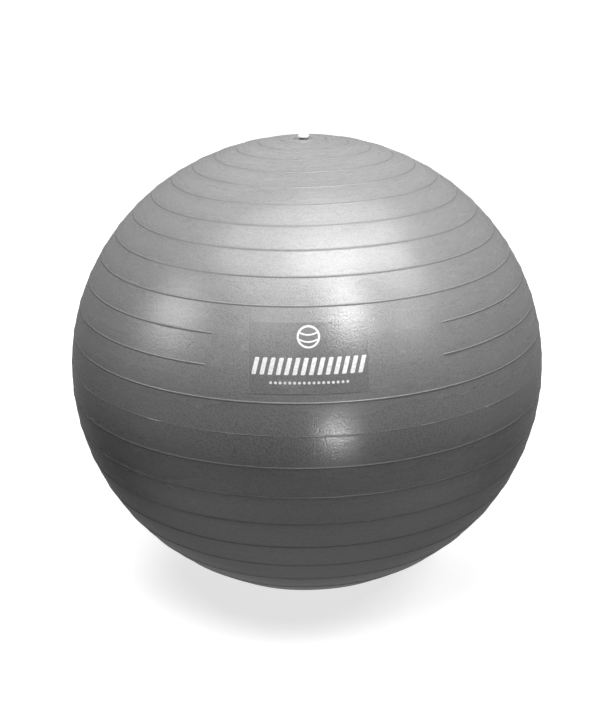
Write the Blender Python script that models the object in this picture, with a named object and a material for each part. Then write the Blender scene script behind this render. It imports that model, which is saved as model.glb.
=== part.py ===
"""An inflatable exercise ball, 65 cm across, standing on the floor.

The ball is a thin moulded skin with raised anti-slip ribs round its axis. A valve seat is welded into the
skin at the top, and a barbed stopper closes its bore. A printed film covers a panel that two of the ribs
leave free. The origin is the centre of the patch that rests on the floor, +Z is the ball's axis, and the
panel faces -Y. Lengths are in metres and angles in degrees.
"""

import math

import bmesh
import bpy
import numpy as np

# The ball, standing on the floor
BALL_DIAMETER = 0.650
BALL_HEIGHT = 0.624
REST_RADIUS = 0.045
SKIN_WALL = 0.0009

# The ribs, counted from the valve downwards and placed by their distance along the skin
FIRST_RIB_ARC = 0.030
RIB_PITCH = 0.0292
RIB_PITCH_GROWTH = 0.00087
RIB_WIDTH = 0.0022
RIB_HEIGHT = 0.0008

# The panel where some ribs stop, from its left edge to its right edge as seen from -Y
PANEL_RIBS = (10, 11)
PANEL_LEFT = -22.8
PANEL_RIGHT = 32.5

# The printed film on the panel
LABEL_WIDTH = 0.142
LABEL_HEIGHT = 0.084
LABEL_THICKNESS = 0.0002
LABEL_AZIMUTH = 0.3
LABEL_DROP = 0.0038
LABEL_COLUMNS = 20
LABEL_ROWS = 12

# The valve seat: a collar through the skin, a flange under it, and a boss in a shallow dish
BORE_RADIUS = 0.0042
BOSS_WALL = 0.0016
BOSS_RISE = 0.0009
NECK_WALL = 0.0028
SEAT_DEPTH = 0.0100
COLLAR_RADIUS = 0.0137
COLLAR_RIM = 0.0015
DISH_DEPTH = 0.0018
FLANGE_WIDTH = 0.0053
FLANGE_THICKNESS = 0.0012

# The stopper
HEAD_RADIUS = 0.0070
HEAD_THICKNESS = 0.0036
HEAD_ROUNDING = 0.0009
HEAD_CROWN = 0.0003
STEM_LENGTH = 0.0160
STEM_TIP_RADIUS = 0.0024
BARB_COUNT = 3
BARB_RISE = 0.0004
BARB_LENGTH = 0.0028

# What touches keeps this gap
GAP = 0.0003

SKIN_SEGMENTS = 48
VALVE_SEGMENTS = 32
CORNER_STEPS = 3
MERGE_DISTANCE = 1e-6
SHARP_EDGE_ANGLE = 35.0

# The skin's upright section is an ellipse, cut off flat where it rests
HALF_WIDTH = BALL_DIAMETER / 2
HALF_HEIGHT = BALL_HEIGHT / (1 + math.sqrt(1 - (REST_RADIUS / HALF_WIDTH) ** 2))
CENTRE_HEIGHT = BALL_HEIGHT - HALF_HEIGHT
OPENING_RADIUS = COLLAR_RADIUS + GAP

# Distance along the skin from the top, tabulated against the ellipse's own angle
TURNS = np.linspace(0, math.pi, 20001)
STEPS = np.hypot(np.diff(HALF_WIDTH * np.sin(TURNS)), np.diff(HALF_HEIGHT * np.cos(TURNS)))
ARCS = np.concatenate([[0.0], np.cumsum(STEPS)])


def clear_scene():
    for obj in list(bpy.data.objects):
        bpy.data.objects.remove(obj)


def section_point(turn, offset=0.0):
    """The radius and height at this angle of the ellipse, moved outwards by the offset."""
    radius = HALF_WIDTH * math.sin(turn)
    rise = HALF_HEIGHT * math.cos(turn)
    normal = np.array([radius / HALF_WIDTH**2, rise / HALF_HEIGHT**2])
    normal /= np.linalg.norm(normal)
    return radius + offset * normal[0], CENTRE_HEIGHT + rise + offset * normal[1]


def turn_at_arc(arc):
    return float(np.interp(arc, ARCS, TURNS))


def arc_at_radius(radius):
    """The distance along the skin, in its upper half, to this distance from the axis."""
    return float(np.interp(math.asin(radius / HALF_WIDTH), TURNS, ARCS))


def skin_height(radius, offset=0.0):
    """The height of the upper skin at this distance from the axis, moved up by the offset."""
    return section_point(math.asin(radius / HALF_WIDTH))[1] + offset


def rib_arc(index):
    return FIRST_RIB_ARC + RIB_PITCH * index + RIB_PITCH_GROWTH * index * (index - 1) / 2


def rib_arcs():
    """Every rib's distance along the skin. The last one stays half a pitch off the resting patch."""
    patch_turn = math.pi - math.asin(REST_RADIUS / HALF_WIDTH)
    limit = float(np.interp(patch_turn, TURNS, ARCS)) - RIB_PITCH / 2
    arcs = []
    while rib_arc(len(arcs)) < limit:
        arcs.append(rib_arc(len(arcs)))
    return arcs


def skin_profile(arcs):
    """The closed section of the skin: down its outer side from the opening, then up its inner side."""
    opening_turn = turn_at_arc(arc_at_radius(OPENING_RADIUS))
    patch_turn = math.pi - math.asin(REST_RADIUS / HALF_WIDTH)
    outer = [section_point(opening_turn)]
    for arc in arcs:
        outer.append(section_point(turn_at_arc(arc - RIB_WIDTH / 2)))
        outer.append(section_point(turn_at_arc(arc), RIB_HEIGHT))
        outer.append(section_point(turn_at_arc(arc + RIB_WIDTH / 2)))
    outer += [(REST_RADIUS, 0.0), (0.0, 0.0)]
    # The wall keeps its thickness round the edge of the patch, where the section turns this much.
    bend = math.atan2(HALF_HEIGHT * math.sin(patch_turn), -HALF_WIDTH * math.cos(patch_turn))
    inner = [(0.0, SKIN_WALL), (REST_RADIUS - SKIN_WALL * math.tan(bend / 2), SKIN_WALL)]
    inner += [section_point(turn_at_arc(arc), -SKIN_WALL) for arc in reversed(arcs)]
    inner.append((OPENING_RADIUS, skin_height(OPENING_RADIUS, -SKIN_WALL)))
    return outer + inner + outer[:1]


def spun(profile, segments):
    """A bmesh made by turning a profile of radius and height once round the axis."""
    bm = bmesh.new()
    verts = [bm.verts.new((radius, 0.0, height)) for radius, height in profile]
    edges = [bm.edges.new(pair) for pair in zip(verts, verts[1:])]
    bmesh.ops.spin(
        bm, geom=verts + edges, cent=(0, 0, 0), axis=(0, 0, 1), angle=2 * math.pi, steps=segments
    )
    bmesh.ops.remove_doubles(bm, verts=bm.verts, dist=MERGE_DISTANCE)
    bmesh.ops.recalc_face_normals(bm, faces=bm.faces)
    return bm


def azimuth_of(point):
    """Degrees to the right of -Y, as seen from there."""
    return math.degrees(math.atan2(point.x, -point.y))


def interrupt_ribs(bm, arcs):
    """Lowers the crests of the panel's ribs to the skin between the panel's two edges."""
    for index in PANEL_RIBS:
        crest = section_point(turn_at_arc(arcs[index]), RIB_HEIGHT)
        level = section_point(turn_at_arc(arcs[index]))
        for vert in bm.verts:
            place = (math.hypot(vert.co.x, vert.co.y), vert.co.z)
            on_crest = math.dist(place, crest) < RIB_HEIGHT / 10
            if on_crest and PANEL_LEFT < azimuth_of(vert.co) < PANEL_RIGHT:
                vert.co.x *= level[0] / crest[0]
                vert.co.y *= level[0] / crest[0]
                vert.co.z = level[1]


def material(name, colour, roughness):
    made = bpy.data.materials.new(name)
    made.use_nodes = True
    shader = made.node_tree.nodes["Principled BSDF"]
    shader.inputs["Base Color"].default_value = (*colour, 1.0)
    shader.inputs["Roughness"].default_value = roughness
    shader.inputs["Metallic"].default_value = 0.0
    return made


def add_object(name, bm, surface):
    mesh = bpy.data.meshes.new(name)
    bm.to_mesh(mesh)
    bm.free()
    mesh.materials.append(surface)
    mesh.shade_smooth()
    mesh.set_sharp_from_angle(angle=math.radians(SHARP_EDGE_ANGLE))
    obj = bpy.data.objects.new(name, mesh)
    bpy.context.scene.collection.objects.link(obj)
    return obj


def make_skin(surface):
    arcs = rib_arcs()
    bm = spun(skin_profile(arcs), SKIN_SEGMENTS)
    interrupt_ribs(bm, arcs)
    return add_object("ball_skin", bm, surface)


def make_seat(surface):
    """The insert under the opening, from the boss's mouth outwards, down and back up its bore."""
    top = BALL_HEIGHT
    under_skin = -SKIN_WALL - GAP
    bottom = top - SEAT_DEPTH
    boss_radius = BORE_RADIUS + BOSS_WALL
    neck_radius = BORE_RADIUS + NECK_WALL
    dish_radius = COLLAR_RADIUS - COLLAR_RIM
    flange_radius = COLLAR_RADIUS + FLANGE_WIDTH
    flange_bottom = skin_height(flange_radius, under_skin - FLANGE_THICKNESS)
    profile = [
        (BORE_RADIUS, top + BOSS_RISE),
        (boss_radius, top + BOSS_RISE),
        (boss_radius, top - DISH_DEPTH),
        (dish_radius - DISH_DEPTH / 2, top - DISH_DEPTH),
        (dish_radius, skin_height(dish_radius)),
        (COLLAR_RADIUS, skin_height(COLLAR_RADIUS)),
        (COLLAR_RADIUS, skin_height(COLLAR_RADIUS, under_skin)),
        (flange_radius, skin_height(flange_radius, under_skin)),
        (flange_radius, flange_bottom),
        (dish_radius, top - DISH_DEPTH - FLANGE_THICKNESS),
        (neck_radius, top - DISH_DEPTH - 2 * FLANGE_THICKNESS),
        (neck_radius, bottom),
        (BORE_RADIUS, bottom),
    ]
    return add_object("valve_seat", spun(profile + profile[:1], VALVE_SEGMENTS), surface)


def plug_profile():
    """The stopper's section below its own origin, which is on the axis at the underside of its head."""
    centre = (HEAD_RADIUS - HEAD_ROUNDING, HEAD_THICKNESS - HEAD_CROWN - HEAD_ROUNDING)
    points = [(0.0, HEAD_THICKNESS)]
    for step in range(CORNER_STEPS + 1):
        angle = math.radians(90 - 90 * step / CORNER_STEPS)
        points.append((centre[0] + HEAD_ROUNDING * math.cos(angle), centre[1] + HEAD_ROUNDING * math.sin(angle)))
    points += [(HEAD_RADIUS, HEAD_ROUNDING / 2), (HEAD_RADIUS - HEAD_ROUNDING / 2, 0.0)]
    # The barbs fill the bore down to the gap, and the stem between them is thinner.
    barb_radius = BORE_RADIUS - GAP
    root_radius = barb_radius - BARB_RISE
    barbs_length = BARB_COUNT * BARB_LENGTH
    first_barb = (SEAT_DEPTH + BOSS_RISE - barbs_length) / 2
    points += [(root_radius, 0.0), (root_radius, -first_barb)]
    for barb in range(BARB_COUNT):
        shoulder = -first_barb - barb * BARB_LENGTH
        points += [(barb_radius, shoulder - BARB_LENGTH / 4), (root_radius, shoulder - BARB_LENGTH)]
    points += [(STEM_TIP_RADIUS, -STEM_LENGTH + HEAD_ROUNDING), (STEM_TIP_RADIUS - HEAD_ROUNDING, -STEM_LENGTH)]
    points.append((0.0, -STEM_LENGTH))
    return points


def make_plug(surface):
    """The stopper, with its origin on the slide axis where its head meets the boss."""
    plug = add_object("valve_plug", spun(plug_profile(), VALVE_SEGMENTS), surface)
    plug.location = (0.0, 0.0, BALL_HEIGHT + BOSS_RISE + GAP)
    return plug


def make_label(surface):
    """The film: a grid on the skin between the ribs above and below the panel, thickened outwards."""
    arcs = rib_arcs()
    panel_middle = (arcs[PANEL_RIBS[0] - 1] + arcs[PANEL_RIBS[-1] + 1]) / 2
    bm = bmesh.new()
    rows = []
    for row in range(LABEL_ROWS + 1):
        arc = panel_middle + LABEL_DROP + LABEL_HEIGHT * (row / LABEL_ROWS - 0.5)
        radius, height = section_point(turn_at_arc(arc), GAP)
        verts = []
        for column in range(LABEL_COLUMNS + 1):
            across = LABEL_WIDTH * (column / LABEL_COLUMNS - 0.5)
            azimuth = math.radians(LABEL_AZIMUTH) + across / radius
            verts.append(bm.verts.new((radius * math.sin(azimuth), -radius * math.cos(azimuth), height)))
        rows.append(verts)
    for above, below in zip(rows, rows[1:]):
        for column in range(LABEL_COLUMNS):
            bm.faces.new((below[column], below[column + 1], above[column + 1], above[column]))
    film = add_object("label_film", bm, surface)
    thicken = film.modifiers.new("thickness", "SOLIDIFY")
    thicken.thickness = LABEL_THICKNESS
    thicken.offset = 1.0
    return film


def main():
    clear_scene()
    grey_vinyl = material("grey_vinyl", (0.235, 0.235, 0.240), 0.42)
    dark_vinyl = material("seat_vinyl", (0.100, 0.100, 0.104), 0.50)
    white_plastic = material("white_polyethylene", (0.860, 0.860, 0.850), 0.38)
    film = material("label_film", (0.200, 0.200, 0.205), 0.55)
    make_skin(grey_vinyl)
    make_seat(dark_vinyl)
    make_plug(white_plastic)
    make_label(film)


main()
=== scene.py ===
"""Looks for the exercise ball: a fine ribbed skin, the printed panel, the valve seat and its stopper.

Lengths are in metres and angles in degrees, in the CAD's frame: the origin is the centre of the patch that
the ball rests on, +Z is its axis, and the label faces -Y. Azimuth 0 is -Y and grows towards +X.
"""

import math

import bmesh
import bpy
import numpy as np
from mathutils import Matrix, Vector


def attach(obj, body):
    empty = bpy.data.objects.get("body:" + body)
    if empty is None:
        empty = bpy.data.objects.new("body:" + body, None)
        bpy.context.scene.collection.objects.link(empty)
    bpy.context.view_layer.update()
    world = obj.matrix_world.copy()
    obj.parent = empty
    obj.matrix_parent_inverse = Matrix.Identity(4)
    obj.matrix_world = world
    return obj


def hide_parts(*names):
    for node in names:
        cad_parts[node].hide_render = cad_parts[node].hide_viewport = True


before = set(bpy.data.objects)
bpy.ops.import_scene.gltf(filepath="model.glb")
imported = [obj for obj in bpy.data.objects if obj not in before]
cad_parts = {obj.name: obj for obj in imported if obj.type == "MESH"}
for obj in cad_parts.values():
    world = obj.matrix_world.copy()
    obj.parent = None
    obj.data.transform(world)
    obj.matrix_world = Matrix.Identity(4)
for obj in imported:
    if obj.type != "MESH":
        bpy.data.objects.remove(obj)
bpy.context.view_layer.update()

# The ball's sizes, as in the CAD
BALL_DIAMETER = 0.650
BALL_HEIGHT = 0.624
REST_RADIUS = 0.045
SKIN_WALL = 0.0009
FIRST_RIB_ARC = 0.030
RIB_PITCH = 0.0292
RIB_PITCH_GROWTH = 0.00087
BORE_RADIUS = 0.0042
BOSS_WALL = 0.0016
BOSS_RISE = 0.0009
NECK_WALL = 0.0028
SEAT_DEPTH = 0.0100
COLLAR_RADIUS = 0.0137
COLLAR_RIM = 0.0015
DISH_DEPTH = 0.0018
FLANGE_WIDTH = 0.0053
FLANGE_THICKNESS = 0.0012
HEAD_RADIUS = 0.0070
HEAD_THICKNESS = 0.0036
STEM_LENGTH = 0.0160
STEM_TIP_RADIUS = 0.0024
BARB_COUNT = 3
BARB_RISE = 0.0004
BARB_LENGTH = 0.0028
GAP = 0.0003
LABEL_WIDTH = 0.142
LABEL_HEIGHT = 0.084
LABEL_AZIMUTH = 0.3
LABEL_DROP = 0.0038

# The ribs' smooth profile, and the creases at their feet
RIB_HEIGHT = 0.00052
RIB_HALF_WIDTH = 0.00155
CREASE_WIDTH = 0.0007
# Two ribs stop at the label's panel, each at its own left and right azimuth
PANEL_RIBS = {10: (-22.4, 33.5), 11: (-23.3, 31.7)}
# One rib is the mould's parting line, which is only a thin, uneven flash
PARTING_RIB = 13
PARTING_HEIGHT = 0.00045
PARTING_HALF_WIDTH = 0.0008
# Its height wanders about this share of the full one, in waves: (share, turns round, phase)
PARTING_MEAN = 0.6
PARTING_WAVES = ((0.25, 17, 0.0), (0.15, 41, 1.0))

# The fine skin mesh
COLUMNS = 212
END_COLUMNS = 6
END_COLUMN_STEP = 0.10
BAND_ROWS = 3
BAND_MARGIN = 0.0005
RIB_ROWS = 9
INNER_ROWS = 30
FILLET_ROWS = 6
FILLET_REACH = 0.006
LIP_ROWS = 4
LIP_RADIUS = 0.00035
PATCH_RINGS = (0.7, 0.4, 0.15)

# For all meshes
SHARP_ANGLE = 50
MERGE_DISTANCE = 1e-6
ROUNDING_STEPS = 4

# A soft skin isn't quite true, and has low swells: (height, turns round, waves down, phase)
SWELLS = (
    (0.00040, 3, 1.6, 0.4),
    (0.00022, 5, 2.7, 2.1),
    (0.00012, 8, 4.3, 4.0),
    (0.00006, 13, 6.1, 1.3),
)
# As shares of the way down the skin: where the swells begin and end, and how long they take to do so
SWELL_START = 0.04
SWELL_END = 0.93
SWELL_FADE = 0.08

# The camera stands this far from the ball's centre, a little to the left of it and slightly rolled
CAMERA_ELEVATION = 20.0
CAMERA_DISTANCE = 1.817
CAMERA_LENS = 64.5
SENSOR_WIDTH = 36.0
CAMERA_ROLL = -0.9
SIDE_OFFSET = -0.0028

HALF_WIDTH = BALL_DIAMETER / 2
HALF_HEIGHT = BALL_HEIGHT / (1 + math.sqrt(1 - (REST_RADIUS / HALF_WIDTH) ** 2))
CENTRE_HEIGHT = BALL_HEIGHT - HALF_HEIGHT
CENTRE = Vector((0.0, 0.0, CENTRE_HEIGHT))
OPENING_RADIUS = COLLAR_RADIUS + GAP

# Distances along the skin, from the top to the bottom of the whole spheroid, and the turns they belong to
SECTION_STEPS = 20000
TURNS = np.linspace(0, math.pi, SECTION_STEPS + 1)
STEPS = np.hypot(np.diff(HALF_WIDTH * np.sin(TURNS)), np.diff(HALF_HEIGHT * np.cos(TURNS)))
ARCS = np.concatenate([[0.0], np.cumsum(STEPS)])


# ---------------------------------------------------------------- the ball's section


def section(arcs, offset=0.0):
    """Radius and height at these distances along the skin, moved outwards by the offset."""
    turns = np.interp(arcs, ARCS, TURNS)
    radius = HALF_WIDTH * np.sin(turns)
    rise = HALF_HEIGHT * np.cos(turns)
    normal = np.stack([radius / HALF_WIDTH**2, rise / HALF_HEIGHT**2])
    normal = normal / np.linalg.norm(normal, axis=0)
    return radius + offset * normal[0], CENTRE_HEIGHT + rise + offset * normal[1]


def arc_of_radius(radius, lower=False):
    """Distance along the skin to this radius, on the upper half or the lower one."""
    turn = math.asin(radius / HALF_WIDTH)
    return float(np.interp(math.pi - turn if lower else turn, TURNS, ARCS))


def top_height(radius, offset=0.0):
    """Height of the skin's outer side near the valve, moved up by the offset."""
    return float(section(arc_of_radius(radius))[1]) + offset


def rib_arc(index):
    """Distance along the skin to a rib. The pitch grows from each rib to the next."""
    return FIRST_RIB_ARC + RIB_PITCH * index + RIB_PITCH_GROWTH * index * (index - 1) / 2


def rib_arcs():
    """Distances along the skin to all ribs, of which the last stays clear of the resting patch."""
    limit = arc_of_radius(REST_RADIUS, lower=True) - RIB_PITCH / 2
    arcs = []
    while rib_arc(len(arcs)) < limit:
        arcs.append(rib_arc(len(arcs)))
    return arcs


def on_skin(arcs, azimuths, offset):
    """Points on the skin, from distances along it and azimuths in radians."""
    radius, height = section(arcs, offset)
    return np.stack([radius * np.sin(azimuths), -radius * np.cos(azimuths), height], axis=-1)


# ---------------------------------------------------------------- the skin


def column_azimuths():
    """Azimuths of the mesh's columns in degrees, closer together where the panel's ribs end."""
    even = np.arange(COLUMNS) * 360.0 / COLUMNS - 180.0
    steps = np.arange(-END_COLUMNS, END_COLUMNS + 1) * END_COLUMN_STEP
    ends = np.concatenate([end + steps for pair in PANEL_RIBS.values() for end in pair])
    far = [a for a in even if np.abs(ends - a).min() > END_COLUMN_STEP]
    return np.unique(np.round(np.concatenate([far, ends]), 2))


def bell(distance, half_width):
    """A smooth ridge, 1 on its crest and 0 from half_width on."""
    share = np.clip(distance / half_width, 0.0, 1.0)
    return 0.5 + 0.5 * np.cos(math.pi * share)


def ridges(arcs, azimuths):
    """How far the ribs raise the skin, over its rows and columns, and three masks.

    The masks are for the ribs, the creases at their feet and the parting line. The material lays painted
    shade on the ribs and the creases.
    """
    raised = np.zeros((len(arcs), len(azimuths)))
    ribs, creases, parting = np.zeros_like(raised), np.zeros_like(raised), np.zeros_like(raised)
    radius = section(arcs)[0][:, None]
    for index, arc in enumerate(rib_arcs()):
        across = np.abs(arcs - arc)[:, None] + np.zeros_like(raised)
        if index == PARTING_RIB:
            around = np.radians(azimuths)
            waves = sum(share * np.sin(turns * around + phase) for share, turns, phase in PARTING_WAVES)
            raised += PARTING_HEIGHT * bell(across, PARTING_HALF_WIDTH) * (PARTING_MEAN + waves)
            parting = np.maximum(parting, bell(across, 2 * PARTING_HALF_WIDTH))
            continue
        if index in PANEL_RIBS:
            left, right = PANEL_RIBS[index]
            inside = np.minimum(azimuths - left, right - azimuths)
            past_end = np.radians(np.clip(inside, 0.0, None))[None, :] * radius
            across = np.hypot(across, past_end)
        raised += RIB_HEIGHT * bell(across, RIB_HALF_WIDTH)
        ribs = np.maximum(ribs, bell(across, RIB_HALF_WIDTH))
        creases = np.maximum(creases, bell(np.abs(across - RIB_HALF_WIDTH), CREASE_WIDTH))
    return raised, ribs, creases, parting


def swells(arcs, azimuths):
    """How far low waves raise the skin, fading out towards the valve and the resting patch."""
    down = arcs / ARCS[-1]
    total = 0.0
    for height, turns, waves, phase in SWELLS:
        total = total + height * np.sin(turns * azimuths + phase) * np.sin(waves * math.pi * down + phase)
    fade = np.clip(np.minimum(down - SWELL_START, SWELL_END - down) / SWELL_FADE, 0.0, 1.0)
    return total * fade**2 * (3 - 2 * fade)


def skin_rows():
    """Distances along the skin of the mesh's rows, closer together across each rib and beside it."""
    start = arc_of_radius(OPENING_RADIUS + LIP_RADIUS)
    turns = np.linspace(-math.pi / 2, math.pi / 2, RIB_ROWS)
    rows = []
    for arc in rib_arcs():
        rows.append(np.linspace(start, arc - RIB_HALF_WIDTH - BAND_MARGIN, BAND_ROWS))
        rows.append(arc + RIB_HALF_WIDTH * np.sin(turns))
        start = arc + RIB_HALF_WIDTH + BAND_MARGIN
    end = arc_of_radius(REST_RADIUS + FILLET_REACH, lower=True)
    rows.append(np.linspace(start, end, BAND_ROWS))
    return np.concatenate(rows)


def ring(radius, height, azimuths):
    """A level ring of points, one for each column."""
    around = np.radians(azimuths)
    level = np.full_like(around, height)
    return np.stack([radius * np.sin(around), -radius * np.cos(around), level], axis=-1)


def fillet_points(inset):
    """Radius and height down the soft edge of the resting patch and on to the patch itself."""
    arc = arc_of_radius(REST_RADIUS + FILLET_REACH, lower=True)
    start = np.array([float(x) for x in section(arc, -inset)])
    corner = np.array([REST_RADIUS, inset])
    end = np.array([REST_RADIUS - FILLET_REACH, inset])
    shares = np.linspace(0, 1, FILLET_ROWS + 1)[1:, None]
    curve = (1 - shares) ** 2 * start + 2 * shares * (1 - shares) * corner + shares**2 * end
    flat = [(end[0] * share, inset) for share in PATCH_RINGS]
    return [tuple(p) for p in curve] + flat


def make_skin(surface):
    """One closed shell, made of rings of points.

    They go down the outer side from the valve's opening, over the patch and up the inner side.
    """
    azimuths = column_azimuths()
    arcs = skin_rows()
    raised, *masks = ridges(arcs, azimuths)
    around = np.radians(azimuths)[None, :]
    offset = raised + swells(arcs[:, None], around)
    outer = on_skin(arcs[:, None], around, offset)
    rings = []
    lip_height = top_height(OPENING_RADIUS + LIP_RADIUS)
    for step in range(LIP_ROWS):
        angle = math.pi / 2 * step / LIP_ROWS
        radius = OPENING_RADIUS + LIP_RADIUS * (1 - math.cos(angle))
        rings.append(ring(radius, lip_height - LIP_RADIUS * (1 - math.sin(angle)), azimuths))
    first = len(rings) * len(azimuths)
    rings += list(outer)
    for radius, height in fillet_points(0.0):
        rings.append(ring(radius, height, azimuths))
    outer_pole = len(rings)
    for radius, height in reversed(fillet_points(SKIN_WALL)):
        rings.append(ring(radius, height, azimuths))
    inner_arcs = np.linspace(arcs[-1], arcs[0], INNER_ROWS + 1)
    for arc in inner_arcs:
        radius, height = section(arc, -SKIN_WALL)
        rings.append(ring(float(radius), float(height), azimuths))
    rings.append(ring(OPENING_RADIUS, top_height(OPENING_RADIUS, -SKIN_WALL), azimuths))

    count = len(azimuths)
    verts = np.concatenate(rings)
    poles = len(verts)
    verts = np.concatenate([verts, [[0, 0, 0], [0, 0, SKIN_WALL]]])
    faces = []
    columns = [(c, (c + 1) % count) for c in range(count)]
    for row in range(len(rings)):
        here, below = row * count, (row + 1) % len(rings) * count
        if row == outer_pole - 1:
            faces += [(here + a, poles, here + b) for a, b in columns]
            faces += [(below + b, poles + 1, below + a) for a, b in columns]
            continue
        faces += [(here + a, below + a, below + b, here + b) for a, b in columns]
    obj = mesh_object("ball_skin_fine", verts.tolist(), faces, surface)
    for name, mask in zip(("rib", "crease", "parting"), masks):
        values = np.zeros(len(verts))
        values[first : first + mask.size] = mask.ravel()
        store(obj, name, values)
    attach(obj, "ball")
    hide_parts("ball_skin")


# ---------------------------------------------------------------- mesh helpers


def finished(bm, mesh, surface):
    """An object of this mesh, filled from bm: faces turned outwards, and smooth but for sharp edges."""
    bmesh.ops.recalc_face_normals(bm, faces=bm.faces)
    bm.to_mesh(mesh)
    bm.free()
    mesh.materials.append(surface)
    mesh.shade_smooth()
    mesh.set_sharp_from_angle(angle=math.radians(SHARP_ANGLE))
    obj = bpy.data.objects.new(mesh.name, mesh)
    bpy.context.scene.collection.objects.link(obj)
    return obj


def mesh_object(name, verts, faces, surface):
    """An object of these verts and faces."""
    mesh = bpy.data.meshes.new(name)
    mesh.from_pydata(verts, [], faces)
    mesh.validate()
    bm = bmesh.new()
    bm.from_mesh(mesh)
    return finished(bm, mesh, surface)


def store(obj, name, values):
    """A number for each vertex, which the material reads."""
    attribute = obj.data.attributes.new(name, "FLOAT", "POINT")
    attribute.data.foreach_set("value", np.asarray(values, np.float32))


def patch(arcs, azimuths, low, high, closed=False):
    """Verts and faces of a thin sheet on the skin, over grids of arcs and azimuths.

    Its faces lie at the low and high offsets, and walls join them. A closed one runs round in a ring: its
    last column meets its first.
    """
    rows, columns = arcs.shape
    verts = np.concatenate([on_skin(arcs, azimuths, o).reshape(-1, 3) for o in (high, low)])
    under = rows * columns
    faces = []
    for r in range(rows - 1):
        for c in range(columns if closed else columns - 1):
            a, b = r * columns + c, r * columns + (c + 1) % columns
            faces.append((a, a + columns, b + columns, b))
            faces.append((under + b, under + b + columns, under + a + columns, under + a))
    first = list(range(columns))
    last = [(rows - 1) * columns + c for c in reversed(first)]
    if closed:
        loops = [first, last]
    else:
        right = [r * columns + columns - 1 for r in range(1, rows - 1)]
        left = [r * columns for r in range(rows - 2, 0, -1)]
        loops = [first + right + last + left]
    for loop in loops:
        for a, b in zip(loop, loop[1:] + loop[:1]):
            faces.append((a, b, under + b, under + a))
    return verts, faces


def join(parts):
    """Several (verts, faces) as one."""
    verts, faces, base = [], [], 0
    for part_verts, part_faces in parts:
        verts += np.asarray(part_verts).tolist()
        faces += [tuple(base + i for i in face) for face in part_faces]
        base += len(part_verts)
    return verts, faces


def turned(name, profile, surface):
    """A solid turned from a profile of radii and heights, which is closed or ends on the axis."""
    bm = bmesh.new()
    verts = [bm.verts.new((radius, 0.0, height)) for radius, height in profile]
    edges = [bm.edges.new(pair) for pair in zip(verts, verts[1:])]
    spin = {"cent": (0, 0, 0), "axis": (0, 0, 1), "angle": 2 * math.pi, "steps": VALVE_SEGMENTS}
    bmesh.ops.spin(bm, geom=verts + edges, **spin)
    bmesh.ops.remove_doubles(bm, verts=bm.verts, dist=MERGE_DISTANCE)
    return finished(bm, bpy.data.meshes.new(name), surface)


def rounded(corners):
    """A profile with its corners rounded: each corner is (radius, height, rounding)."""
    points = []
    for index, (x, y, rounding) in enumerate(corners):
        here = np.array([x, y])
        if rounding == 0 or index in (0, len(corners) - 1):
            points.append((x, y))
            continue
        before = np.array(corners[index - 1][:2]) - here
        after = np.array(corners[index + 1][:2]) - here
        start = here + before / np.linalg.norm(before) * rounding
        end = here + after / np.linalg.norm(after) * rounding
        for share in np.linspace(0, 1, ROUNDING_STEPS + 1):
            spot = (1 - share) ** 2 * start + 2 * share * (1 - share) * here + share**2 * end
            points.append(tuple(float(v) for v in spot))
    return points


# ---------------------------------------------------------------- the label


LABEL_FILM_LOW = 0.00005
LABEL_FILM_HIGH = 0.00020
PRINT_LOW = 0.00018
PRINT_HIGH = 0.00026
LABEL_GRID = (64, 40)
BAR_CORNER_COLUMNS = 8
# A bar keeps this share of its height at its ends, so that no faces shrink to nothing
BAR_END_SHARE = 0.02


def label_arc():
    """Distance along the skin to the label's middle, a little below the middle of its panel."""
    arcs = rib_arcs()
    ribs = sorted(PANEL_RIBS)
    return (arcs[ribs[0] - 1] + arcs[ribs[-1] + 1]) / 2 + LABEL_DROP


def on_label(across, down):
    """Grids of arcs and azimuths in radians, from distances to the right of the label's middle and down."""
    across, down = np.broadcast_arrays(across, down)
    arcs = label_arc() + down
    azimuths = math.radians(LABEL_AZIMUTH) + across / section(arcs)[0]
    return arcs, azimuths


def label_patch(across, down, low, high, closed=False):
    """A thin sheet on the label, which follows the skin's swells."""
    arcs, azimuths = on_label(across, down)
    lift = swells(arcs, azimuths)
    return patch(arcs, azimuths, lift + low, lift + high, closed)


def bar(width, height, rounding, columns, rows):
    """A rounded rectangle as distances across and down from its middle."""
    ends = width / 2 - rounding
    right = ends + rounding * np.sin(np.linspace(0, math.pi / 2, BAR_CORNER_COLUMNS))
    middle = np.linspace(-ends, ends, columns)[1:-1]
    across = np.unique(np.round(np.concatenate([-right, middle, right]), 8))
    past = np.clip(np.abs(across) - ends, 0, rounding)
    half_height = height / 2 - rounding + np.sqrt(np.clip(rounding**2 - past**2, 0, None))
    half_height = np.maximum(half_height, BAR_END_SHARE * height)
    shares = np.linspace(-1, 1, rows + 1)
    return across[None, :], shares[:, None] * half_height[None, :]


def annulus(inner, outer, steps, rows):
    """A round band as distances across and down from its centre. It runs round in a ring."""
    turns = np.radians(np.arange(steps) * 360 / steps)[None, :]
    radii = np.linspace(inner, outer, rows + 1)[:, None]
    return radii * np.cos(turns), radii * np.sin(turns)


# The print: the emblem, the stripes and the dots. Grids are (columns, rows).
ICON_DOWN = -0.0245
ICON_RADIUS = 0.0135
ICON_LINE = 0.0023
ICON_GRID = (72, 3)
ICON_LATITUDES = (-0.28, 0.34)
ICON_LATITUDE_LINE = 0.8
ICON_LATITUDE_GRID = (24, 3)
ICON_BOW = 0.0030
STRIPES_DOWN = 0.0098
STRIPE_COUNT = 14
STRIPE_PITCH = 0.0096
STRIPE_WIDTH = 0.0052
STRIPE_HEIGHT = 0.0200
STRIPE_SLANT = 0.0050
STRIPE_ROUNDING = 0.0011
STRIPE_GRID = (8, 20)
DOTS_DOWN = 0.0290
DOT_COUNT = 17
DOT_PITCH = 0.0056
DOT_RADIUS = 0.0017
DOT_GRID = (4, 8)


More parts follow.
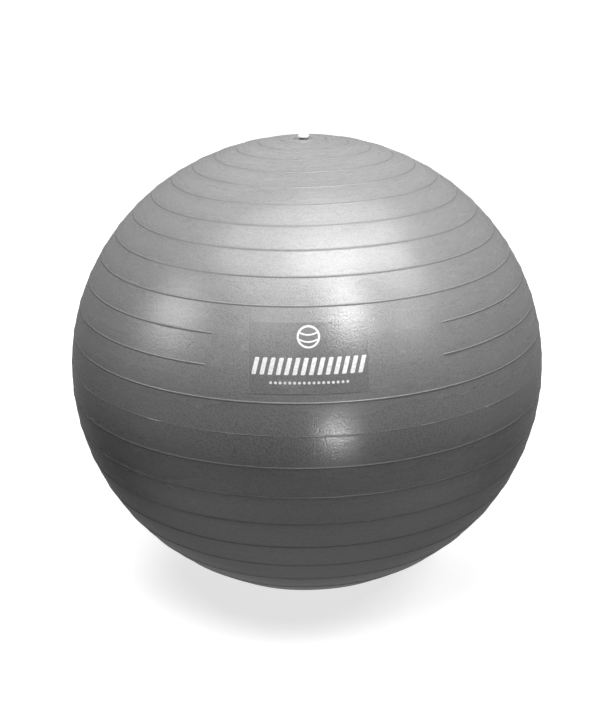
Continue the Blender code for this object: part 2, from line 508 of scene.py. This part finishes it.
def print_shapes():
    """A plain emblem of a ball with two ribs, over a band of slanted stripes and a row of dots.

    The first shape is the emblem's ring, and the others don't run round.
    """
    inner = ICON_RADIUS - ICON_LINE
    across, down = annulus(inner, ICON_RADIUS, *ICON_GRID)
    shapes = [(across, ICON_DOWN + down)]
    columns, rows = ICON_LATITUDE_GRID
    for latitude in ICON_LATITUDES:
        half = math.sqrt(1 - latitude**2) * inner
        across = np.linspace(-half, half, columns + 1)[None, :]
        middle = ICON_DOWN + latitude * ICON_RADIUS + ICON_BOW * (1 - (across / half) ** 2) - ICON_BOW / 2
        shares = np.linspace(-0.5, 0.5, rows + 1)[:, None]
        shapes.append((across, middle + shares * ICON_LINE * ICON_LATITUDE_LINE))
    across, down = bar(STRIPE_WIDTH, STRIPE_HEIGHT, STRIPE_ROUNDING, *STRIPE_GRID)
    for index in range(STRIPE_COUNT):
        centre = (index - (STRIPE_COUNT - 1) / 2) * STRIPE_PITCH
        shapes.append((centre + across - down / STRIPE_HEIGHT * STRIPE_SLANT, STRIPES_DOWN + down))
    across, down = bar(2 * DOT_RADIUS, 2 * DOT_RADIUS, DOT_RADIUS, *DOT_GRID)
    for index in range(DOT_COUNT):
        centre = (index - (DOT_COUNT - 1) / 2) * DOT_PITCH
        shapes.append((centre + across, DOTS_DOWN + down))
    return shapes


def make_label(film_surface, print_surface):
    """The transfer film with the print on it."""
    across = np.linspace(-0.5, 0.5, LABEL_GRID[0] + 1)[None, :] * LABEL_WIDTH
    down = np.linspace(-0.5, 0.5, LABEL_GRID[1] + 1)[:, None] * LABEL_HEIGHT
    verts, faces = label_patch(across, down, LABEL_FILM_LOW, LABEL_FILM_HIGH)
    film = mesh_object("label_film_fine", verts.tolist(), faces, film_surface)
    edge = np.minimum(LABEL_WIDTH / 2 - np.abs(across), LABEL_HEIGHT / 2 - np.abs(down)).ravel()
    store(film, "edge", np.concatenate([edge, edge]))
    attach(film, "ball")
    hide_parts("label_film")
    ring_shape, *others = print_shapes()
    solids = [label_patch(*ring_shape, PRINT_LOW, PRINT_HIGH, closed=True)]
    solids += [label_patch(*shape, PRINT_LOW, PRINT_HIGH) for shape in others]
    verts, faces = join(solids)
    ink = mesh_object("label_print", verts, faces, print_surface)
    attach(ink, "ball")


# ---------------------------------------------------------------- the valve


VALVE_SEGMENTS = 96
HEAD_UNDERSIDE = BALL_HEIGHT + BOSS_RISE + GAP
# The stopper's head has a small dimple in its middle and falls a little towards its edge
DIMPLE_RADIUS = 0.0012
DIMPLE_EDGE = 0.0020
DIMPLE_DEPTH = 0.0007
HEAD_FALL = 0.0004
# As shares of a barb's length: where it is widest and where it ends
BARB_WIDEST = 0.25
BARB_END = 0.95


def make_seat(surface):
    """The insert in the skin's opening, with its bore, dish, collar and flange."""
    top = BALL_HEIGHT
    under_skin = -SKIN_WALL - GAP
    bottom = top - SEAT_DEPTH
    boss_radius = BORE_RADIUS + BOSS_WALL
    neck_radius = BORE_RADIUS + NECK_WALL
    dish_radius = COLLAR_RADIUS - COLLAR_RIM
    flange_radius = COLLAR_RADIUS + FLANGE_WIDTH
    corners = [
        (BORE_RADIUS, bottom + SEAT_DEPTH / 2, 0),
        (BORE_RADIUS, top + BOSS_RISE, 0.0004),
        (boss_radius, top + BOSS_RISE, 0.0005),
        (boss_radius, top - DISH_DEPTH, 0.0004),
        (dish_radius - DISH_DEPTH / 2, top - DISH_DEPTH, 0.0006),
        (dish_radius, top_height(dish_radius), 0.0004),
        (COLLAR_RADIUS, top_height(COLLAR_RADIUS), 0.0003),
        (COLLAR_RADIUS, top_height(COLLAR_RADIUS, under_skin), 0),
        (flange_radius, top_height(flange_radius, under_skin), 0.0003),
        (flange_radius, top_height(flange_radius, under_skin - FLANGE_THICKNESS), 0.0003),
        (dish_radius, top - DISH_DEPTH - FLANGE_THICKNESS, 0.0004),
        (neck_radius, top - DISH_DEPTH - 2 * FLANGE_THICKNESS, 0.0004),
        (neck_radius, bottom, 0.0005),
        (BORE_RADIUS, bottom, 0.0004),
        (BORE_RADIUS, bottom + SEAT_DEPTH / 2, 0),
    ]
    seat = turned("valve_seat_fine", rounded(corners), surface)
    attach(seat, "ball")
    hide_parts("valve_seat")


def make_stopper(surface):
    """The stopper, in place with its head on the boss."""
    seat = HEAD_UNDERSIDE
    barb_radius = BORE_RADIUS - GAP
    root_radius = barb_radius - BARB_RISE
    first_barb = (SEAT_DEPTH + BOSS_RISE - BARB_COUNT * BARB_LENGTH) / 2
    corners = [
        (0.0, seat + HEAD_THICKNESS - DIMPLE_DEPTH, 0),
        (DIMPLE_RADIUS, seat + HEAD_THICKNESS - DIMPLE_DEPTH, 0.0003),
        (DIMPLE_EDGE, seat + HEAD_THICKNESS, 0.0004),
        (HEAD_RADIUS, seat + HEAD_THICKNESS - HEAD_FALL, 0.0011),
        (HEAD_RADIUS, seat, 0.0006),
        (root_radius, seat, 0.0003),
    ]
    for barb in range(BARB_COUNT):
        shoulder = seat - first_barb - barb * BARB_LENGTH
        corners.append((root_radius, shoulder, 0.0003))
        corners.append((barb_radius, shoulder - BARB_LENGTH * BARB_WIDEST, 0.0004))
        corners.append((root_radius, shoulder - BARB_LENGTH * BARB_END, 0.0002))
    corners.append((STEM_TIP_RADIUS, seat - STEM_LENGTH, 0.0009))
    corners.append((0.0, seat - STEM_LENGTH, 0))
    stopper = turned("valve_stopper_fine", rounded(corners), surface)
    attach(stopper, "stopper")
    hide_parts("valve_plug")


# ---------------------------------------------------------------- materials


class Nodes:
    """Short ways to add and link the nodes of a material or a world."""

    def __init__(self, owner):
        owner.use_nodes = True
        self.owner = owner
        self.tree = owner.node_tree
        self.shader = self.tree.nodes.get("Principled BSDF")

    def add(self, kind, inputs=None, **settings):
        node = self.tree.nodes.new(kind)
        for key, value in settings.items():
            setattr(node, key, value)
        for key, value in (inputs or {}).items():
            self.feed(node, key, value)
        return node

    def feed(self, node, key, value):
        if isinstance(value, bpy.types.NodeSocket):
            self.tree.links.new(value, node.inputs[key])
        else:
            node.inputs[key].default_value = value

    def place(self):
        return self.add("ShaderNodeTexCoord").outputs["Object"]

    def height(self, place):
        return self.add("ShaderNodeSeparateXYZ", {0: place}).outputs["Z"]

    def attribute(self, name):
        return self.add("ShaderNodeAttribute", attribute_name=name).outputs["Fac"]

    def math(self, operation, *values, clamp=False):
        inputs = dict(enumerate(values))
        return self.add("ShaderNodeMath", inputs, operation=operation, use_clamp=clamp).outputs[0]

    def scaled(self, value, span, to=(0.0, 1.0)):
        """The value, taken from one span to another and kept inside it."""
        inputs = {"Value": value, "From Min": span[0], "From Max": span[1], "To Min": to[0], "To Max": to[1]}
        return self.add("ShaderNodeMapRange", inputs).outputs["Result"]

    def noise(self, place, scale, detail=2.0, roughness=0.5):
        inputs = {"Vector": place, "Scale": scale, "Detail": detail, "Roughness": roughness}
        return self.add("ShaderNodeTexNoise", inputs).outputs["Fac"]

    def cells(self, place, scale):
        return self.add("ShaderNodeTexVoronoi", {"Vector": place, "Scale": scale}).outputs["Distance"]

    def mix(self, share, first, second):
        return self.add("ShaderNodeMix", {0: share, 6: first, 7: second}, data_type="RGBA").outputs[2]

    def clouded(self, noise, span, greys):
        """A base that goes from one grey to another with the noise."""
        return self.mix(self.scaled(noise, span), grey(greys[0]), grey(greys[1]))

    def laid(self, base, mask, strength, value):
        """The base with a grey laid over it where the mask is."""
        return self.mix(self.math("MULTIPLY", mask, strength), base, grey(value))

    def bump(self, height, strength, depth):
        inputs = {"Height": height, "Strength": strength, "Distance": depth}
        return self.add("ShaderNodeBump", inputs).outputs["Normal"]

    def finish(self, base, roughness, normal):
        """Feed the shader with these, and give back the material."""
        for key, value in (("Base Color", base), ("Roughness", roughness), ("Normal", normal)):
            self.feed(self.shader, key, value)
        return self.owner


# Spans of a noise's values: most of them, and narrower ones for sharper clouds, flecks and short streaks
MOST = (0.3, 0.7)
UPPER = (0.35, 0.7)
FLECKS = (0.35, 0.65)
STREAKS = (0.60, 0.72)
WORN = (0.30, 0.62)

# The leather grain: its sizes in metres, and how much darker it gets over the span of its low values
GRAIN_CELL = 0.0021
GRAIN_DEPTH = 0.00012
PEEL_SIZE = 0.0012
PEEL_SHARE = 0.3
GRAIN_LOWS = (-0.40, 0.15)
GRAIN_DARKENING = (0.60, 0.0)

# Greys are linear reflectances. A pair with a noise span goes from darker to lighter, and a layer is
# (how strongly it is laid over, its grey). Scales are in cells per metre.
SKIN_GREYS = (0.194, 0.217)
SKIN_GRAIN_GREY = 0.13
SKIN_FLECK_GREY = 0.264
SKIN_FLECK_SHARE = (0.0, 0.6)
SKIN_CLOUD_SCALE = 9.0
SKIN_FLECK_SCALE = 420.0
SKIN_ROUGHNESS = (0.24, 0.28)
SKIN_IOR = 1.53
# Painted shade darkens the ribs and the creases at their feet
RIB_PAINTED_SHADE = (0.72, 0.075)
RIB_ROUGHNESS = 0.38
CREASE_PAINTED_SHADE = (0.45, 0.07)
CREASE_ROUGHNESS = 0.15
SCUFF = (0.7, 0.62)
SCUFF_SCALE = 34.0
SPECK = (0.75, 0.03)
SPECK_SCALE = 11.0
SPECK_EDGE = (0.010, 0.020)
# Between these heights the grain's strength falls from the first value to the second
THINNING_HEIGHTS = (0.46, 0.61)
THINNING_GRAIN = (1.0, 0.40)

FILM_GREYS = (0.184, 0.206)
FILM_GRAIN_GREY = 0.115
FILM_CLOUD_SCALE = 22.0
FILM_RIM = (0.35, 0.34)
FILM_RIM_WIDTHS = (0.0004, 0.0013)

INK_GREYS = (0.60, 0.84)
INK_WEAR_SCALE = 420.0
INK_ROUGHNESS = (0.48, 0.60)
INK_BUMP = (0.25, 0.00015)

SEAT_GREYS = (0.160, 0.200)
SEAT_DUST_SCALE = 900.0
SEAT_ROUGHNESS = (0.42, 0.58)
SEAT_BUMP = (0.3, 0.0001)
# Painted shade at the bottom of the dish, fading out between these heights
DISH_PAINTED_SHADE = (0.25, 0.09)
DISH_PAINTED_SHADE_HEIGHTS = (BALL_HEIGHT - DISH_DEPTH - 0.0002, BALL_HEIGHT - DISH_DEPTH + 0.0008)

STOPPER_GREYS = (0.82, 0.90)
STOPPER_WARMTHS = (0.010, 0.006)
STOPPER_TEXTURE_SCALE = 1400.0
STOPPER_CLOUD_SCALE = 260.0
STOPPER_ROUGHNESS = (0.32, 0.44)
STOPPER_BUMP = (0.15, 0.00006)
STOPPER_SCATTER = 0.15
STOPPER_SCATTER_DEPTH = 0.002
# Painted shade on the stem, fading out up the lower rim of the head between these heights
HEAD_PAINTED_SHADE = (0.25, 0.52)
HEAD_PAINTED_SHADE_HEIGHTS = (HEAD_UNDERSIDE, HEAD_UNDERSIDE + 0.0008)

# A mask that is whole at a span's start and gone at its end
FADING = (1.0, 0.0)


def grey(value, warmth=0.0):
    return (value * (1 + warmth), value, value * (1 - warmth), 1.0)


def leather_grain(nodes, place):
    """The height of a moulded leather grain: low rounded cells with a finer orange peel over them."""
    cells = nodes.cells(place, 1 / GRAIN_CELL)
    domes = nodes.math("MULTIPLY", cells, cells)
    peel = nodes.noise(place, 1 / PEEL_SIZE, detail=1.0)
    return nodes.math("MULTIPLY_ADD", peel, PEEL_SHARE, nodes.math("MULTIPLY", domes, -1.0))


def vinyl_material():
    """Satin grey vinyl with a leather grain, faint clouds, painted shade on its ribs and creases, and a few
    specks.
    """
    nodes = Nodes(bpy.data.materials.new("grey_vinyl_grained"))
    place = nodes.place()
    rib, crease, parting = (nodes.attribute(name) for name in ("rib", "crease", "parting"))
    grain = leather_grain(nodes, place)
    cloud = nodes.noise(place, SKIN_CLOUD_SCALE, detail=4.0, roughness=0.55)
    fleck = nodes.scaled(nodes.noise(place, SKIN_FLECK_SCALE), FLECKS, SKIN_FLECK_SHARE)
    base = nodes.clouded(cloud, MOST, SKIN_GREYS)
    base = nodes.mix(fleck, base, grey(SKIN_FLECK_GREY))
    base = nodes.mix(nodes.scaled(grain, GRAIN_LOWS, GRAIN_DARKENING), base, grey(SKIN_GRAIN_GREY))
    # The ribs are dull, and painted shade darkens them and the creases at their feet.
    base = nodes.laid(base, rib, *RIB_PAINTED_SHADE)
    base = nodes.laid(base, crease, *CREASE_PAINTED_SHADE)
    # The parting line is scuffed in short stretches.
    streak = nodes.scaled(nodes.noise(place, SCUFF_SCALE, detail=3.0, roughness=0.7), STREAKS)
    base = nodes.laid(base, nodes.math("MULTIPLY", parting, streak, clamp=True), *SCUFF)
    # Sparse dark specks of dirt, a millimetre or two across.
    speck = nodes.scaled(nodes.cells(place, SPECK_SCALE), SPECK_EDGE, FADING)
    base = nodes.laid(base, speck, *SPECK)
    roughness = nodes.scaled(cloud, MOST, SKIN_ROUGHNESS)
    roughness = nodes.math("MULTIPLY_ADD", rib, RIB_ROUGHNESS, roughness)
    roughness = nodes.math("MULTIPLY_ADD", crease, CREASE_ROUGHNESS, roughness)
    nodes.shader.inputs["IOR"].default_value = SKIN_IOR
    # The skin is pulled thinner towards the valve, so its grain is lower there.
    strength = nodes.scaled(nodes.height(place), THINNING_HEIGHTS, THINNING_GRAIN)
    return nodes.finish(base, roughness, nodes.bump(grain, strength, GRAIN_DEPTH))


def film_material():
    """The transfer film: a little darker than the skin, with its grain and a pale rim."""
    nodes = Nodes(bpy.data.materials.new("label_film_satin"))
    place = nodes.place()
    grain = leather_grain(nodes, place)
    cloud = nodes.noise(place, FILM_CLOUD_SCALE, detail=3.0)
    base = nodes.clouded(cloud, UPPER, FILM_GREYS)
    base = nodes.mix(nodes.scaled(grain, GRAIN_LOWS, GRAIN_DARKENING), base, grey(FILM_GRAIN_GREY))
    rim = nodes.scaled(nodes.attribute("edge"), FILM_RIM_WIDTHS, FADING)
    base = nodes.laid(base, rim, *FILM_RIM)
    return nodes.finish(base, nodes.scaled(cloud, MOST, SKIN_ROUGHNESS), nodes.bump(grain, 1.0, GRAIN_DEPTH))


def print_material():
    """White screen-print ink, unevenly worn, with the grain showing faintly through."""
    nodes = Nodes(bpy.data.materials.new("label_ink_white"))
    place = nodes.place()
    wear = nodes.noise(place, INK_WEAR_SCALE, detail=3.0, roughness=0.65)
    base = nodes.clouded(wear, WORN, INK_GREYS)
    normal = nodes.bump(leather_grain(nodes, place), *INK_BUMP)
    return nodes.finish(base, nodes.scaled(wear, MOST, INK_ROUGHNESS), normal)


def seat_material():
    """Harder and duller vinyl, a little darker than the skin, with painted shade at the bottom of the dish.
    """
    nodes = Nodes(bpy.data.materials.new("seat_vinyl_dark"))
    place = nodes.place()
    dust = nodes.noise(place, SEAT_DUST_SCALE, detail=4.0, roughness=0.7)
    base = nodes.clouded(dust, UPPER, SEAT_GREYS)
    # Painted shade at the bottom of the dish.
    base = nodes.laid(base, nodes.scaled(nodes.height(place), DISH_PAINTED_SHADE_HEIGHTS, FADING), *DISH_PAINTED_SHADE)
    return nodes.finish(base, nodes.scaled(dust, MOST, SEAT_ROUGHNESS), nodes.bump(dust, *SEAT_BUMP))


def polyethylene_material():
    """White polyethylene, faintly milky, with a fine texture and painted shade on its stem and the lower rim
    of its head.
    """
    nodes = Nodes(bpy.data.materials.new("polyethylene_white"))
    place = nodes.place()
    texture = nodes.noise(place, STOPPER_TEXTURE_SCALE, detail=3.0, roughness=0.6)
    cloud = nodes.scaled(nodes.noise(place, STOPPER_CLOUD_SCALE), MOST)
    dark, light = (grey(*tone) for tone in zip(STOPPER_GREYS, STOPPER_WARMTHS))
    base = nodes.mix(cloud, dark, light)
    # Painted shade on the stem and the lower rim of the head.
    base = nodes.laid(base, nodes.scaled(nodes.height(place), HEAD_PAINTED_SHADE_HEIGHTS, FADING), *HEAD_PAINTED_SHADE)
    nodes.shader.inputs["Subsurface Weight"].default_value = STOPPER_SCATTER
    nodes.shader.inputs["Subsurface Scale"].default_value = STOPPER_SCATTER_DEPTH
    roughness = nodes.scaled(texture, MOST, STOPPER_ROUGHNESS)
    return nodes.finish(base, roughness, nodes.bump(texture, *STOPPER_BUMP))


# ---------------------------------------------------------------- the stage


FLOOR_SIZE = 60.0
# Just under the ball, so that the two have no face in the same plane
FLOOR_HEIGHT = -0.0002
FLOOR_GREY = 0.50
FLOOR_ROUGHNESS = 0.9
FLOOR_SPECULAR = 0.1
# The floor's own glow grows between these distances from where the ball stands, to the background's white
GLOW_DISTANCES = (0.9, 3.2)
GLOW = (0.72, 1.05)
# The light from below comes from directions lower than this elevation, with a soft edge
BOUNCE = 0.85
BOUNCE_EDGE = -40.0
BOUNCE_BLUR = 8.0
# The ball's own shadow keeps most of that light from coming forward from behind it. The first pair says
# how far a direction points back, and the second how much of the light it keeps.
BOUNCE_BACK = (-0.2, 0.5)
BOUNCE_KEPT = (1.0, 0.25)
# The pale wall behind, by how far a direction points back
WALL = 0.25
WALL_BACK = (0.35, 0.85)


def make_floor():
    """A pale floor that is seen and takes shadows. Its light on the ball comes from the world instead."""
    nodes = Nodes(bpy.data.materials.new("studio_floor"))
    glow = nodes.add("ShaderNodeVectorMath", {0: nodes.place()}, operation="LENGTH").outputs["Value"]
    for key, value in (
        ("Base Color", grey(FLOOR_GREY)),
        ("Roughness", FLOOR_ROUGHNESS),
        ("Specular IOR Level", FLOOR_SPECULAR),
        ("Emission Color", grey(1.0)),
        ("Emission Strength", nodes.scaled(glow, GLOW_DISTANCES, GLOW)),
    ):
        nodes.feed(nodes.shader, key, value)
    half = FLOOR_SIZE / 2
    corners = [(-half, -half), (half, -half), (half, half), (-half, half)]
    mesh = bpy.data.meshes.new("studio_floor")
    mesh.from_pydata([(x, y, FLOOR_HEIGHT) for x, y in corners], [], [(0, 1, 2, 3)])
    mesh.materials.append(nodes.owner)
    floor = bpy.data.objects.new("studio_floor", mesh)
    bpy.context.scene.collection.objects.link(floor)
    floor.visible_diffuse = False
    floor.visible_glossy = False


def direction(elevation, azimuth):
    """A unit vector from the ball's centre: azimuth 0 is towards -Y, growing towards +X."""
    e, a = math.radians(elevation), math.radians(azimuth)
    return Vector((math.cos(e) * math.sin(a), -math.cos(e) * math.cos(a), math.sin(e)))


def softbox(name, elevation, azimuth, distance, width, height, power):
    """A rectangular soft light that faces the ball."""
    light = bpy.data.lights.new(name, "AREA")
    light.shape = "RECTANGLE"
    light.size = width
    light.size_y = height
    light.energy = power
    lamp = bpy.data.objects.new(name, light)
    bpy.context.scene.collection.objects.link(lamp)
    outward = direction(elevation, azimuth)
    lamp.location = CENTRE + outward * distance
    lamp.rotation_euler = outward.to_track_quat("Z", "Y").to_euler()
    return lamp


# The lights that shade the ball and the floor, and the lights that the ball's gloss shows, are set apart
FILL_DISTANCE = 2.1
FILL_SIZE = 0.8
# (name, elevation, azimuth, power)
FILLS = (
    ("fill_top", 80, 40, 34),
    ("fill_left", 60, -55, 25),
    ("fill_front", 58, 0, 22),
    ("fill_right", 42, 75, 25),
    ("fill_back", 30, 180, 18),
)
# (name, elevation, azimuth, distance, width, height, power)
REFLECTED = (
    ("ceiling", 80, 14, 2.1, 3.0, 1.5, 50),
    ("key_high", 66, 16, 2.1, 1.0, 0.7, 17),
    ("key", 47, 22, 2.1, 0.40, 0.80, 16),
    ("key_core", 38, 22, 2.1, 0.32, 0.60, 12),
    ("left_low", 28, -70, 2.1, 0.8, 0.8, 14),
    ("left_middle", 41, -20, 2.1, 0.7, 0.9, 7),
    ("right", 54, 62, 2.1, 0.9, 1.1, 16),
    ("right_low", 30, 50, 2.1, 0.5, 0.5, 4),
    ("lamp", -8.3, 10.6, 1.15, 0.090, 0.110, 2.0),
)


def make_lights():
    for name, elevation, azimuth, power in FILLS:
        lamp = softbox(name, elevation, azimuth, FILL_DISTANCE, FILL_SIZE, FILL_SIZE, power)
        lamp.visible_glossy = False
    for settings in REFLECTED:
        lamp = softbox(*settings)
        lamp.visible_diffuse = False


def make_world():
    """The light that a pale floor throws back from below and a pale wall behind. The camera sees white."""
    world = bpy.data.worlds.new("studio")
    bpy.context.scene.world = world
    nodes = Nodes(world)
    nodes.tree.nodes.clear()
    place = nodes.add("ShaderNodeTexCoord").outputs["Generated"]
    axes = nodes.add("ShaderNodeSeparateXYZ", {0: place}).outputs
    edge = [math.sin(math.radians(BOUNCE_EDGE + blur)) for blur in (BOUNCE_BLUR, -BOUNCE_BLUR)]
    bounce = nodes.scaled(axes["Z"], edge, (0.0, BOUNCE))
    kept = nodes.scaled(axes["Y"], BOUNCE_BACK, BOUNCE_KEPT)
    wall = nodes.scaled(axes["Y"], WALL_BACK, (0.0, WALL))
    strength = nodes.math("ADD", nodes.math("MULTIPLY", bounce, kept), wall)
    lighting = nodes.add("ShaderNodeBackground", {"Color": grey(1.0), "Strength": strength})
    backdrop = nodes.add("ShaderNodeBackground", {"Color": grey(1.0)})
    seen = nodes.add("ShaderNodeLightPath").outputs["Is Camera Ray"]
    mixed = nodes.add("ShaderNodeMixShader", {0: seen, 1: lighting.outputs[0], 2: backdrop.outputs[0]})
    nodes.add("ShaderNodeOutputWorld", {"Surface": mixed.outputs[0]})


def make_camera():
    """The photograph's view."""
    camera = bpy.data.cameras.new("camera")
    camera.lens = CAMERA_LENS
    camera.sensor_width = SENSOR_WIDTH
    view = bpy.data.objects.new("camera", camera)
    bpy.context.scene.collection.objects.link(view)
    outward = direction(CAMERA_ELEVATION, 0)
    place = Matrix.Translation(CENTRE + outward * CAMERA_DISTANCE + Vector((SIDE_OFFSET, 0, 0)))
    aim = outward.to_track_quat("Z", "Y").to_matrix().to_4x4()
    roll = Matrix.Rotation(math.radians(CAMERA_ROLL), 4, "Z")
    view.matrix_world = place @ aim @ roll
    bpy.context.scene.camera = view


# ---------------------------------------------------------------- all of it


make_camera()
make_world()
make_lights()
make_floor()
make_skin(vinyl_material())
make_label(film_material(), print_material())
make_seat(seat_material())
make_stopper(polyethylene_material())
bpy.context.scene.view_settings.view_transform = "Standard"
